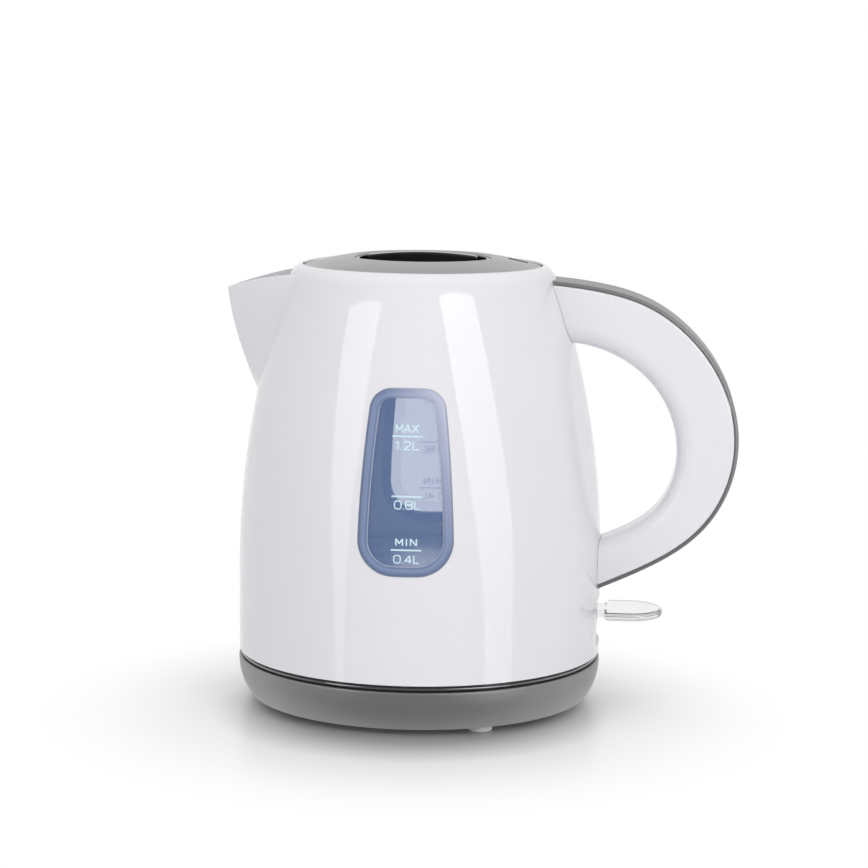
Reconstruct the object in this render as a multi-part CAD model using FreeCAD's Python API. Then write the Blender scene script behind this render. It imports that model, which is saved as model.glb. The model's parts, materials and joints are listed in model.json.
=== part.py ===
import FreeCAD, Part
import math
import os

os.makedirs("parts", exist_ok=True)
V = FreeCAD.Vector

# Millimetres, +Z up. The Z axis is the axis of the power base. The origin is in the middle of the base's
# underside, and the soft feet stand below it. +X points to the handle, -X to the spout and -Y to the front
# level window.

# Fits
fit_gap = 0.1          # between pieces that are fixed to each other
running_gap = 0.4      # between round faces that turn or slide past each other
rest_gap = 0.2         # between flat faces that rest on each other
free_gap = 0.6         # between faces that must stay clear of each other
pin_gap = 0.05         # lever on its pin, on the radius
press_gap = 0.02       # pin in its ears, on the radius

# Overall sizes
body_radius = 79.5
base_height = 17.0
jug_height = 164.1     # straight and leaning wall, up to where the shoulder starts

# Screws
screw_radius = 1.5
screw_head_radius = 3.0
screw_head = 1.6
screw_length = 9.0
screw_slot_length = 4.4
screw_slot = 0.8
screw_count = 3

# Power base
base_radius = body_radius + 0.1
base_bottom_radius = base_radius - 5.4
foot_height = 3.0
rim_height = 1.5
rim_width = 4.0
rim_round = 0.8
dish_depth = 4.0
dish_thickness = 2.6
base_wall = 2.4
base_side_top = base_height - rim_height
dish_floor = base_height - dish_depth
cover_plate = 2.2
cover_edge_gap = 0.4
foot_radius = 5.0
foot_circle = base_bottom_radius - 8.4
foot_angle = -62.0
foot_plug = 1.2
foot_round = 0.6
base_screw_circle = 48.0
base_boss_radius = 4.2

# Connector tower of the base
tower_radius = 17.0
tower_height = 11.0
tower_foot = 4.0
tower_foot_thickness = 3.0
groove_inner = 8.0
groove_outer = 12.6
groove_depth = 9.0
contact_ring_radius = 9.0
contact_ring_wall = 0.8
contact_pin_radius = 1.8
contact_well_radius = 3.2
contact_drop = 1.5

# Cord inlet
gland_radius = 3.4
gland_bore = 2.6
gland_collar = 0.5
gland_collar_length = 2.0
gland_length = 13.0
gland_out = 0.5
gland_height = cover_plate + gland_radius + gland_collar + rest_gap

# Jug wall: straight below, then a long arc that leans inwards, then a round shoulder
body_lift = 2.9
body_bottom = base_height + body_lift
taper_start = body_bottom + 37.1
taper_arc = 378.0
shoulder_start = body_bottom + jug_height
shoulder_radius = 8.0
wall = 3.0
chamber_ledge = body_bottom + 32.8
ledge_thickness = 3.0
ledge_width = 6.5
ledge_radius = body_radius - wall - ledge_width

# Mouth of the jug
shoulder_edge = body_radius - taper_arc + math.sqrt(taper_arc ** 2 - (shoulder_start - taper_start) ** 2)
mouth_seat_radius = shoulder_edge - 5.5
mouth_radius = mouth_seat_radius - 3.6
mouth_seat = shoulder_start + 1.2
mouth_round = 0.6
neck_depth = 9.2
neck_bottom = mouth_seat - neck_depth
roof_height = 7.0
chamber_top = neck_bottom - roof_height

# Spout
spout_tip_radius = body_radius + 5.9
spout_tip = shoulder_start - 6.5
spout_height = 45.4
spout_foot = spout_tip - spout_height
spout_half_width = 26.0
spout_widening = 0.45
spout_least_part = 0.02
spout_nose = 5.0
spout_bow = 0.45
spout_bow_power = 2.4
spout_root_depth = 9.0
spout_wall = 2.2
spout_nose_least = spout_wall + 0.5
spout_sections = 6
lip_root_radius = shoulder_edge - 14.0
lip_root = shoulder_start + 2.0
lip_drop = 2.4
lip_overrun = 6.0
lip_bulge = 2.0

# Spout filter
pour_low = spout_foot + 14.5
pour_high = chamber_top - 3.5
pour_half_width = 12.0
pour_corner = 2.5
filter_border = 2.8
filter_thickness = 2.0
mesh_thickness = 0.7
mesh_columns = 6
mesh_rows = 7
mesh_bar = 1.0

# Level windows
window_low = chamber_ledge + 13.1
window_high = shoulder_start - 40.7
window_low_half = 20.2
window_high_half = 14.9
window_low_corner = 15.0
window_high_corner = 9.5
window_side_bow = 1.3
window_low_bow = 0.9
window_high_bow = 0.4
window_inset = 0.3
window_panel_margin = 4.2
window_panel_depth = 0.6
window_flange = 4.0
window_flange_thickness = 1.4
window_seal_thickness = 1.0

# Handle: points on its outer and inner lines, out from the jug's straight wall in millimetres
# and up from its lower edge as a share of the jug's height
handle_outer = (
    (-28.8, 0.9990),
    (-2.9, 0.9807),
    (19.6, 0.9392),
    (39.3, 0.8498),
    (52.0, 0.7395),
    (58.4, 0.5865),
    (54.7, 0.4494),
    (43.7, 0.3404),
    (18.9, 0.2340),
    (-12.4, 0.1471),
)
handle_inner = (
    (-26.7, 0.8287),
    (0.8, 0.8092),
    (19.8, 0.7309),
    (31.9, 0.5588),
    (24.3, 0.3997),
    (2.2, 0.3129),
    (-16.5, 0.2719),
)
handle_half_width = 13.5
handle_inner_round = 8.0
handle_outer_round = 1.0
handle_root_wall = 6.0
handle_pocket_depth = 9.0
handle_pocket_half = 8.5
handle_post_radius = 4.0
handle_screw_at = 0.84
handle_screw_length = 11.0
spine_thickness = 1.7
spine_gap = 0.2
spine_half_width = 12.6
spine_round = 1.2

# Heater and control
heater_seal_thickness = 1.2
heater_seal_rise = 2.6
heater_seal_wall = 1.0
plate_thickness = 1.0
plate_radius = body_radius - wall - rest_gap - heater_seal_wall - 0.3
spreader_radius = ledge_radius - 21.0
spreader_thickness = 3.0
element_circle = spreader_radius - 6.0
element_radius = 3.4
element_turn = 300.0
cold_end_radius = 2.2
cold_end_length = 12.0
control_radius = 32.0
disc_radius = 9.0
disc_thickness = 0.8
disc_offset = 15.0
disc_pocket = 2.0
water_floor = chamber_ledge + heater_seal_thickness
spreader_low = water_floor - spreader_thickness

# Round socket under the jug
socket_inner = tower_radius + running_gap
socket_wall = 4.4
socket_outer = socket_inner + socket_wall
socket_cap = 2.8
socket_flange = 3.5
socket_flange_thickness = 2.0
socket_skirt = 1.0
socket_skirt_length = 7.0
socket_top = dish_floor + tower_height + free_gap + socket_cap

# Lower cover of the jug
under_low = dish_floor + rest_gap
under_plate = 2.4
under_top = under_low + under_plate
under_wall = 2.5
under_side = base_radius - rim_width - free_gap
ring_radius = body_radius - 1.5
ring_bottom = base_height + rest_gap * 2
under_lip = 6.8
under_screw_circle = body_radius - 9.0
under_boss_radius = 4.4

# Switch
lever_pivot = body_radius - 13.5
lever_height = body_bottom + 17.5
lever_thickness = 3.5
lever_arm_half = 7.0
lever_hub = 3.4
lever_hub_half = 8.6
lever_pin = 1.5
lever_travel = 12.0
lever_slot_gap = 0.8
paddle_start = body_radius + 2.1
paddle_bend = body_radius + 14.0
paddle_nose = 13.4
paddle_half_width = 15.3
paddle_corner = 3.0
paddle_round = 1.5
switch_flat_depth = 1.1
switch_flat_half = 20.0
switch_flat_low = body_bottom + 4.0
switch_flat_high = body_bottom + 24.5
ear_half = 4.0
ear_thickness = 3.0
frame_thickness = 1.8
frame_half_width = lever_hub_half + running_gap + ear_thickness + 0.4
frame_low = lever_height + lever_hub + 0.4
lamp_radius = 2.4
lamp_length = 11.0
lamp_drop = 3.4
lamp_holder = 4.0

# Steam tube
steam_tube_radius = 4.2
steam_tube_wall = 1.2
steam_tube_at = spreader_radius + steam_tube_radius + 1.3
steam_tube_top = chamber_top - 7.0
steam_tube_bottom = frame_low + frame_thickness + rest_gap

# Lid
lid_radius = mouth_seat_radius - running_gap
lid_edge_low = mouth_seat + 1.4
lid_edge_high = lid_edge_low + 1.5
lid_edge_round = 0.7
lid_inner_high = lid_edge_high + 4.1
lid_dome = 0.4
lid_thickness = 2.4
lid_lip = 0.9
lid_lip_width = 2.8
lid_hole = lid_radius - 22.0
lid_under = lid_inner_high - lid_lip - lid_thickness
well_radius = lid_hole - running_gap
well_wall = 1.6
well_rim = lid_inner_high - 1.0
well_floor = well_rim - 15.8
well_flange = 4.0
well_flange_thickness = 1.4
grip_half_length = well_radius - well_wall - 4.1
grip_half_width = 3.0
grip_top = lid_inner_high + 1.9
grip_arch = 1.6
grip_round = 0.9
plug_radius = mouth_radius - 2.4
plug_wall = 2.4
plug_floor = 2.0
plug_bottom = lid_edge_low - 20.8
lug_radius = mouth_radius - running_gap
lug_height = 3.0
lug_low = neck_bottom - 1.6
lug_angle = 28.0
tab_radius = plug_radius + 0.8
tab_height = 3.0
tab_low = lug_low + lug_height + free_gap
tab_angle = 32.0
bayonet_count = 3
lid_boss_radius = 3.6
lid_screw_circle = plug_radius - 8.0
lid_seal_inner = mouth_radius - 1.2


def cylinder(radius, low, high, x=0.0, y=0.0):
    return Part.makeCylinder(radius, high - low, V(x, y, low))


def tube(outer, inner, low, high, x=0.0, y=0.0):
    return cylinder(outer, low, high, x, y).cut(cylinder(inner, low - 1, high + 1, x, y))


def box(x_low, x_high, y_low, y_high, z_low, z_high):
    return Part.makeBox(x_high - x_low, y_high - y_low, z_high - z_low, V(x_low, y_low, z_low))


# Cylinder along Y, as long on both sides of the middle
def cross_bar(radius, half_length, x, z):
    return Part.makeCylinder(radius, 2 * half_length, V(x, -half_length, z), V(0, 1, 0))


def line(a, b):
    return Part.makeLine(V(a[0], 0, a[1]), V(b[0], 0, b[1]))


def arc(a, b, c):
    return Part.Arc(V(a[0], 0, a[1]), V(b[0], 0, b[1]), V(c[0], 0, c[1])).toShape()


def revolve(edges):
    face = Part.Face(Part.Wire(edges))
    return face.revolve(V(0, 0, 0), V(0, 0, 1), 360)


# Upright face drawn in X and Z, made as thick on both sides of the middle
def slab(edges, half_width):
    face = Part.Face(Part.Wire(edges))
    solid = face.extrude(V(0, 2 * half_width, 0))
    solid.translate(V(0, -half_width, 0))
    return solid


def around(radius, count, first):
    spots = []
    for i in range(count):
        angle = math.radians(first + 360.0 * i / count)
        spots.append((radius * math.cos(angle), radius * math.sin(angle)))
    return spots


def sector(outer, inner, low, high, middle, width):
    piece = Part.makeCylinder(outer, high - low, V(0, 0, low), V(0, 0, 1), width)
    piece = piece.cut(cylinder(inner, low - 1, high + 1))
    piece.rotate(V(0, 0, 0), V(0, 0, 1), middle - width / 2)
    return piece


# Screw with its slotted head below the seat
def screw(x, y, seat, length):
    head = cylinder(screw_head_radius, seat - screw_head, seat, x, y)
    half = screw_slot_length / 2
    side = screw_slot / 2
    low = seat - screw_head
    head = head.cut(box(x - half, x + half, y - side, y + side, low - 1, low + screw_slot))
    return head.fuse(cylinder(screw_radius, seat, seat + length, x, y))


def turned(shape):
    copy = shape.copy()
    copy.rotate(V(0, 0, 0), V(0, 0, 1), 180)
    return copy


def save(name, shape):
    shape.exportStep("parts/%s.step" % name)


# Jug surface: the radius of the wall at a height, moved inwards by an inset
def jug_radius(height, inset=0.0):
    if height <= taper_start:
        return body_radius - inset
    rise = height - taper_start
    return body_radius - taper_arc + math.sqrt((taper_arc - inset) ** 2 - rise ** 2)


def jug_core(inset, low, high):
    start = (jug_radius(low, inset), low)
    edges = [line((0, low), start)]
    if low < taper_start:
        straight = (body_radius - inset, taper_start)
        edges.append(line(start, straight))
        start = straight
    middle = (start[1] + high) / 2
    end = (jug_radius(high, inset), high)
    edges.append(arc(start, (jug_radius(middle, inset), middle), end))
    edges.append(line(end, (0, high)))
    edges.append(line((0, high), (0, low)))
    return revolve(edges)


def jug_skin(outer_inset, inner_inset, low, high):
    return jug_core(outer_inset, low, high).cut(jug_core(inner_inset, low - 1, high + 1))


# Jug and shoulder as one full solid
def jug_outside():
    start = (shoulder_edge, shoulder_start)
    lean = math.asin((shoulder_start - taper_start) / taper_arc)
    centre = (start[0] - shoulder_radius * math.cos(lean), start[1] - shoulder_radius * math.sin(lean))
    half = (lean + math.pi / 2) / 2
    middle = (centre[0] + shoulder_radius * math.cos(half), centre[1] + shoulder_radius * math.sin(half))
    top = (centre[0], centre[1] + shoulder_radius)
    climb = (taper_start + shoulder_start) / 2
    edges = [line((0, body_bottom), (body_radius, body_bottom))]
    edges.append(line((body_radius, body_bottom), (body_radius, taper_start)))
    edges.append(arc((body_radius, taper_start), (jug_radius(climb), climb), start))
    edges.append(arc(start, middle, top))
    edges.append(line(top, (0, top[1])))
    edges.append(line((0, top[1]), (0, body_bottom)))
    return revolve(edges)


# Spout: the line of its front edge
def spout_front(height):
    root = jug_radius(spout_foot)
    part = (height - spout_foot) / spout_height
    bowed = (1 + spout_bow) * part - spout_bow * part ** spout_bow_power
    return root + (spout_tip_radius - root) * bowed


# One level section of the spout: round nose, two straight sides to the crease on the jug, root in the jug
def spout_section(height, inset):
    part = min(1.0, (height - spout_foot) / spout_height)
    nose = max(spout_nose * part, spout_nose_least)
    middle = spout_front(height) - nose
    half = spout_half_width * max(part, spout_least_part) ** spout_widening
    crease = math.sqrt(jug_radius(height) ** 2 - half ** 2)
    reach = middle - crease
    touch = math.pi / 2 - math.atan2(half, reach) + math.asin(nose / math.hypot(reach, half))
    ahead = math.cos(touch)
    aside = math.sin(touch)
    side_x = -(middle + (nose - inset) * ahead)
    side_y = (nose - inset) * aside
    crease_x = -(crease - inset * ahead)
    crease_y = half - inset * aside
    root_x = crease_x + spout_root_depth
    near = [V(root_x, -crease_y, height), V(crease_x, -crease_y, height), V(side_x, -side_y, height)]
    far = [V(side_x, side_y, height), V(crease_x, crease_y, height), V(root_x, crease_y, height)]
    edges = [Part.makeLine(near[0], near[1]), Part.makeLine(near[1], near[2])]
    edges.append(Part.Arc(near[2], V(-(middle + nose - inset), 0, height), far[0]).toShape())
    edges.append(Part.makeLine(far[0], far[1]))
    edges.append(Part.makeLine(far[1], far[2]))
    edges.append(Part.makeLine(far[2], near[0]))
    return Part.Wire(edges)


def spout_solid(inset, low, high):
    sections = []
    for i in range(spout_sections):
        sections.append(spout_section(low + (high - low) * i / (spout_sections - 1), inset))
    return Part.makeLoft(sections, True, False)


# Space above the lip of the spout
def above_lip():
    tip = (-spout_tip_radius - lip_overrun, spout_tip - lip_drop)
    root = (-lip_root_radius, lip_root)
    middle = ((tip[0] + root[0]) / 2, (tip[1] + root[1]) / 2 + lip_bulge)
    sky = lip_root + 20
    edges = [arc(tip, middle, root), line(root, (root[0], sky)), line((root[0], sky), (tip[0], sky))]
    edges.append(line((tip[0], sky), tip))
    return slab(edges, body_radius)


# Pouring slot, seen along X from the spout side
def pour_prism(margin):
    half = pour_half_width + margin
    reach = spout_tip_radius + 10
    prism = box(-reach, -reach / 2, -half, half, pour_low - margin, pour_high + margin)
    edges = []
    for edge in prism.Edges:
        if edge.BoundBox.XLength > 1:
            edges.append(edge)
    return prism.makeFillet(pour_corner + margin, edges)


# Jug with the spout on it; the channel of the spout runs on through the jug wall as the pouring slot
def jug_with_spout():
    sky = lip_root + 2
    channel = spout_solid(spout_wall, spout_foot + 5, sky + 1)
    core = jug_outside()
    slot = channel.common(pour_prism(-rest_gap))
    spout = spout_solid(0.0, spout_foot, sky).cut(channel).cut(above_lip())
    return core.fuse(spout).cut(channel.cut(core)).cut(slot)


# Rounded upright opening in the jug wall, seen along Y from the front
def window_prism(margin):
    low = window_low - margin
    high = window_high + margin
    low_corner = low + window_low_bow
    high_corner = high - window_high_bow
    low_half = window_low_half + margin
    high_half = window_high_half + margin
    bulge = (low_half + high_half) / 2 + window_side_bow
    middle = (low_corner + high_corner) / 2
    y = -body_radius - 10
    corners = [V(-low_half, y, low_corner), V(low_half, y, low_corner)]
    corners += [V(high_half, y, high_corner), V(-high_half, y, high_corner)]
    bows = [V(0, y, low), V(bulge, y, middle), V(0, y, high), V(-bulge, y, middle)]
    edges = []
    for i in range(4):
        edges.append(Part.Arc(corners[i], bows[i], corners[(i + 1) % 4]).toShape())
    prism = Part.Face(Part.Wire(edges)).extrude(V(0, -y / 2, 0))
    for height, radius in ((low_corner, window_low_corner), (high_corner, window_high_corner)):
        edges = []
        for edge in prism.Edges:
            along_y = edge.BoundBox.ZLength < 0.01 and edge.BoundBox.XLength < 0.01
            if along_y and abs(edge.CenterOfMass.z - height) < 0.01:
                edges.append(edge)
        prism = prism.makeFillet(radius + margin, edges)
    return prism


# Space over the seat of the mouth; its side flares out at the top and leaves a rounded rim on the jug
def mouth_space():
    lean = math.asin((shoulder_start - taper_start) / taper_arc)
    centre_out = shoulder_edge - shoulder_radius * math.cos(lean)
    centre_up = shoulder_start - shoulder_radius * math.sin(lean)
    edge = mouth_seat_radius + mouth_round
    rim = centre_up + math.sqrt(shoulder_radius ** 2 - (edge - centre_out) ** 2)
    bend = mouth_round * (1 - math.sqrt(0.5))
    foot = (mouth_seat_radius, rim - mouth_round)
    sky = rim + 20
    seat = (mouth_seat_radius, mouth_seat)
    edges = [line((0, mouth_seat), seat), line(seat, foot)]
    edges.append(arc(foot, (mouth_seat_radius + bend, rim - bend), (edge, rim)))
    edges.append(line((edge, rim), (edge, sky)))
    edges.append(line((edge, sky), (0, sky)))
    edges.append(line((0, sky), (0, mouth_seat)))
    return revolve(edges)


def make_body_shell():
    shell = jug_with_spout()
    chamber = jug_core(wall, chamber_ledge, chamber_top)
    widest = jug_radius(chamber_top, wall)
    roof = Part.makeCone(widest, mouth_radius, roof_height, V(0, 0, chamber_top))
    shell = shell.cut(chamber.fuse(roof))
    shell = shell.cut(cylinder(mouth_radius, neck_bottom - 1, mouth_seat + 1))
    shell = shell.cut(mouth_space())
    shell = shell.cut(cylinder(body_radius - wall, body_bottom - 1, chamber_ledge - ledge_thickness))
    shell = shell.cut(cylinder(ledge_radius, body_bottom, chamber_ledge + 1))
    opening = window_prism(0.0)
    shell = shell.cut(opening).cut(turned(opening))
    for i in range(bayonet_count):
        middle = 60 + 360.0 * i / bayonet_count
        tab = sector(mouth_radius + 0.5, tab_radius, tab_low, tab_low + tab_height, middle, tab_angle)
        shell = shell.fuse(tab)
    boss_low = under_top + fit_gap
    for x, y in around(under_screw_circle, screw_count, 60):
        boss = cylinder(under_boss_radius, boss_low, chamber_ledge - 1, x, y)
        hole = cylinder(screw_radius + fit_gap, boss_low - 1, boss_low + screw_length + 1, x, y)
        shell = shell.fuse(boss.cut(hole))
    flat_x = body_radius - switch_flat_depth
    half = switch_flat_half
    shell = shell.cut(box(flat_x, flat_x + 9, -half, half, switch_flat_low, switch_flat_high))
    drop = math.tan(math.radians(lever_travel)) * (body_radius - lever_pivot)
    slot_low = lever_height - lever_thickness / 2 - drop - lever_slot_gap
    slot_high = lever_height + lever_thickness / 2 + lever_slot_gap
    half = lever_arm_half + lever_slot_gap
    return shell.cut(box(flat_x - wall - 4, flat_x + 9, -half, half, slot_low, slot_high))


def make_window():
    low = window_low - 2 * window_flange
    high = window_high + 2 * window_flange
    inner = wall + window_seal_thickness
    plug = jug_skin(window_inset, inner + window_flange_thickness, low, high)
    plug = plug.common(window_prism(-fit_gap))
    flange = jug_skin(inner, inner + window_flange_thickness, low, high)
    flange = flange.common(window_prism(window_flange))
    panel = jug_skin(-window_flange, window_inset + window_panel_depth, low, high)
    panel = panel.common(window_prism(-window_panel_margin))
    return plug.fuse(flange).cut(panel)


def make_window_seal():
    low = window_low - 2 * window_flange
    high = window_high + 2 * window_flange
    strip = jug_skin(wall + fit_gap, wall + window_seal_thickness - fit_gap, low, high)
    return strip.common(window_prism(window_flange)).cut(window_prism(0.0))


def make_filter():
    low = pour_low - 2 * filter_border
    high = pour_high + 2 * filter_border
    skin = jug_skin(wall + fit_gap, wall + fit_gap + filter_thickness, low, high)
    frame = skin.common(pour_prism(filter_border)).cut(pour_prism(0.0))
    frame = frame.cut(cylinder(body_radius, chamber_top, chamber_top + roof_height))
    middle = wall + fit_gap + filter_thickness / 2
    mesh = jug_skin(middle - mesh_thickness / 2, middle + mesh_thickness / 2, low, high)
    mesh = mesh.common(pour_prism(-fit_gap))
    wide = (2 * pour_half_width - mesh_bar * (mesh_columns + 1)) / mesh_columns
    tall = (pour_high - pour_low - mesh_bar * (mesh_rows + 1)) / mesh_rows
    holes = []
    for i in range(mesh_columns):
        y = -pour_half_width + mesh_bar + i * (wide + mesh_bar)
        for j in range(mesh_rows):
            z = pour_low + mesh_bar + j * (tall + mesh_bar)
            holes.append(box(-body_radius, 0, y, y + wide, z, z + tall))
    return frame, mesh.cut(holes)


# Handle: one of its lines moved inwards by an inset
def handle_points(shares, inset):
    points = []
    for out, share in shares:
        points.append((body_radius + out, body_bottom + share * jug_height))
    moved = []
    for i in range(len(points)):
        before = points[max(i - 1, 0)]
        after = points[min(i + 1, len(points) - 1)]
        step = (after[0] - before[0], after[1] - before[1])
        size = math.hypot(step[0], step[1])
        moved.append(V(points[i][0] + inset * step[1] / size, 0, points[i][1] - inset * step[0] / size))
    return moved


def curve(points):
    spline = Part.BSplineCurve()
    spline.interpolate(points)
    return spline


def handle_band(outer_points, inner_points, half_width):
    outer = curve(outer_points).toShape()
    inner = curve(inner_points).toShape()
    top = Part.makeLine(outer_points[0], inner_points[0])
    bottom = Part.makeLine(outer_points[-1], inner_points[-1])
    return slab([outer, bottom, inner, top], half_width)


# Long edges of a handle piece that run through a point on one of its lines
def side_edges(band, at):
    found = []
    for edge in band.Edges:
        spot = Part.Vertex(at.x, edge.CenterOfMass.y, at.z)
        level = edge.BoundBox.YLength < 0.01 and edge.BoundBox.ZLength > jug_height / 3
        if level and edge.distToShape(spot)[0] < 0.5:
            found.append(edge)
    return found


def make_handle():
    depth = spine_thickness + spine_gap
    back = handle_points(handle_outer, depth)
    front = handle_points(handle_inner, 0.0)
    shell = handle_band(back, front, handle_half_width)
    shell = shell.makeFillet(handle_inner_round, side_edges(shell, front[3]))
    shell = shell.makeFillet(handle_outer_round, side_edges(shell, back[5]))
    deep = handle_points(handle_outer, depth + handle_pocket_depth)
    pocket = handle_band(handle_points(handle_outer, depth / 2), deep, handle_pocket_half)
    shell = shell.cut(pocket.cut(jug_core(-handle_root_wall, body_bottom, shoulder_start)))
    top = handle_points(handle_outer, 0.0)
    spine = handle_band(top, handle_points(handle_outer, spine_thickness), spine_half_width)
    spine = spine.makeFillet(spine_round, side_edges(spine, top[5]))
    jug = jug_core(-fit_gap, body_bottom, shoulder_start)
    jug = jug.fuse(cylinder(shoulder_edge + fit_gap, shoulder_start - 1, shoulder_start + 20))
    shell = shell.cut(jug)
    spine = spine.cut(jug)
    path = curve(top)
    at = path.parameterAtDistance(path.length() * handle_screw_at, 0)
    along = path.tangent(at)[0]
    inward = V(along.z, 0, -along.x)
    outward = V(-along.z, 0, along.x)
    seat = path.value(at) + inward * screw_head
    head = Part.makeCylinder(screw_head_radius, screw_head, seat, outward)
    shank = Part.makeCylinder(screw_radius, handle_screw_length, seat, inward)
    hole = Part.makeCylinder(screw_radius + fit_gap, handle_screw_length + 8, seat + outward * 5, inward)
    sink = Part.makeCylinder(screw_head_radius + fit_gap, screw_head + 5, seat, outward)
    post_start = path.value(at) + inward * depth
    post = Part.makeCylinder(handle_post_radius, handle_pocket_depth + 1, post_start, inward)
    shell = shell.fuse(post).cut(hole)
    spine = spine.cut(hole).cut(sink)
    return shell, spine, head.fuse(shank)


# Water floor and heater
def make_heater():
    high = water_floor + plate_thickness
    tube_hole = cylinder(steam_tube_radius + fit_gap, spreader_low, high + 1, steam_tube_at)
    plate = cylinder(plate_radius, water_floor, high).cut(tube_hole)
    inner = body_radius - wall - rest_gap
    seal = tube(inner, ledge_radius + 0.5, chamber_ledge, water_floor)
    seal = seal.fuse(tube(inner, inner - heater_seal_wall, chamber_ledge, water_floor + heater_seal_rise))
    spreader = cylinder(spreader_radius, spreader_low, water_floor)
    centre = spreader_low - element_radius - fit_gap
    ring = Part.makeTorus(
        element_circle, element_radius, V(0, 0, centre), V(0, 0, 1), -180, 180, element_turn)
    gap = (360 - element_turn) / 2
    ring.rotate(V(0, 0, 0), V(0, 0, 1), 90 + gap)
    for x, y in around(element_circle, 1, 90 + gap) + around(element_circle, 1, 90 - gap):
        ring = ring.fuse(cylinder(cold_end_radius, centre - cold_end_length, centre, x, y))
        ring = ring.fuse(Part.makeSphere(element_radius, V(x, y, centre)))
    return plate, seal, spreader, ring


def make_control():
    high = spreader_low - fit_gap
    low = socket_top + 2 * rest_gap
    unit = cylinder(control_radius, low, high)
    skirt_low = under_top + socket_flange_thickness + 3 * rest_gap
    unit = unit.fuse(tube(socket_outer + socket_flange + 1, socket_outer + running_gap, skirt_low, low))
    discs = []
    disc_low = high - disc_pocket
    for side in (-1, 1):
        y = side * disc_offset
        unit = unit.cut(cylinder(disc_radius + fit_gap, disc_low, high + 1, 0, y))
        discs.append(cylinder(disc_radius, disc_low + fit_gap, disc_low + fit_gap + disc_thickness, 0, y))
    return unit, Part.makeCompound(discs)


def make_socket():
    cap_low = socket_top - socket_cap
    flange_low = under_top + rest_gap
    socket = cylinder(socket_outer, under_low + rest_gap, socket_top)
    flange_high = flange_low + socket_flange_thickness
    socket = socket.fuse(cylinder(socket_outer + socket_flange, flange_low, flange_high))
    socket = socket.cut(cylinder(socket_inner, under_low, cap_low))
    skirt = contact_ring_radius + contact_ring_wall + free_gap
    return socket.fuse(tube(skirt + socket_skirt, skirt, cap_low - socket_skirt_length, cap_low + 0.2))


# Closing cover under the jug, with the ring that shows in the gap above the base
def make_under_cover():
    lip_top = body_bottom + under_lip
    cover = tube(under_side, socket_outer + running_gap, under_low, under_top)
    cover = cover.fuse(tube(under_side, under_side - under_wall, under_low, body_bottom))
    cover = cover.fuse(tube(ring_radius, under_side - under_wall, ring_bottom, body_bottom))
    inner = body_radius - wall - rest_gap
    cover = cover.fuse(tube(inner, inner - under_wall, body_bottom, lip_top))
    screws = []
    seat = under_low + screw_head + rest_gap
    for x, y in around(under_screw_circle, screw_count, 60):
        cover = cover.cut(cylinder(under_boss_radius + fit_gap, under_top, lip_top + 1, x, y))
        cover = cover.cut(cylinder(screw_radius + fit_gap, seat - 1, under_top + 1, x, y))
        cover = cover.cut(cylinder(screw_head_radius + fit_gap, under_low - 1, seat, x, y))
        screws.append(screw(x, y, seat, screw_length))
    half = lever_arm_half + 2
    notch = box(lever_pivot - 6, body_radius + 9, -half, half, lip_top - 4, lip_top + 9)
    return cover.cut(notch), Part.makeCompound(screws)


def make_steam_tube():
    inner = steam_tube_radius - steam_tube_wall
    return tube(steam_tube_radius, inner, steam_tube_bottom, steam_tube_top, steam_tube_at)


# Steam switch with the ears that hold the lever's pin, and the lamp behind the lever
def make_switch():
    high = frame_low + frame_thickness
    start = control_radius + fit_gap
    frame = box(0, lever_pivot + ear_half, -frame_half_width, frame_half_width, frame_low, high)
    frame = frame.cut(cylinder(start, frame_low - 1, high + 1))
    frame = frame.cut(box(-1, start / 2, -frame_half_width, frame_half_width, frame_low - 1, high + 1))
    frame = frame.cut(cylinder(steam_tube_radius - steam_tube_wall, frame_low - 1, high + 1, steam_tube_at))
    ears = box(
        lever_pivot - ear_half, lever_pivot + ear_half, -frame_half_width, frame_half_width,
        lever_height - ear_half, high)
    between = frame_half_width - ear_thickness
    ears = ears.cut(box(0, body_radius, -between, between, 0, frame_low))
    frame = frame.fuse(ears).cut(cross_bar(lever_pin + press_gap, body_radius, lever_pivot, lever_height))
    lamp_start = lever_pivot - lever_hub - 1 - lamp_length
    lamp_height = lever_height - lamp_drop
    holder_low = lamp_height - lamp_holder
    lamp_end = lamp_start + lamp_length - 3
    holder = box(lamp_start - 3, lamp_end, -lamp_holder, lamp_holder, holder_low, frame_low)
    barrel = Part.makeCylinder(lamp_radius + fit_gap, lamp_length, V(lamp_start, 0, lamp_height), V(1, 0, 0))
    frame = frame.fuse(holder).cut(barrel)
    lamp = Part.makeCylinder(lamp_radius, lamp_length - 2, V(lamp_start, 0, lamp_height), V(1, 0, 0))
    lamp = lamp.fuse(Part.makeSphere(lamp_radius, V(lamp_start + lamp_length - 2, 0, lamp_height)))
    pin = cross_bar(lever_pin, frame_half_width, lever_pivot, lever_height)
    return frame, lamp, pin


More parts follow.
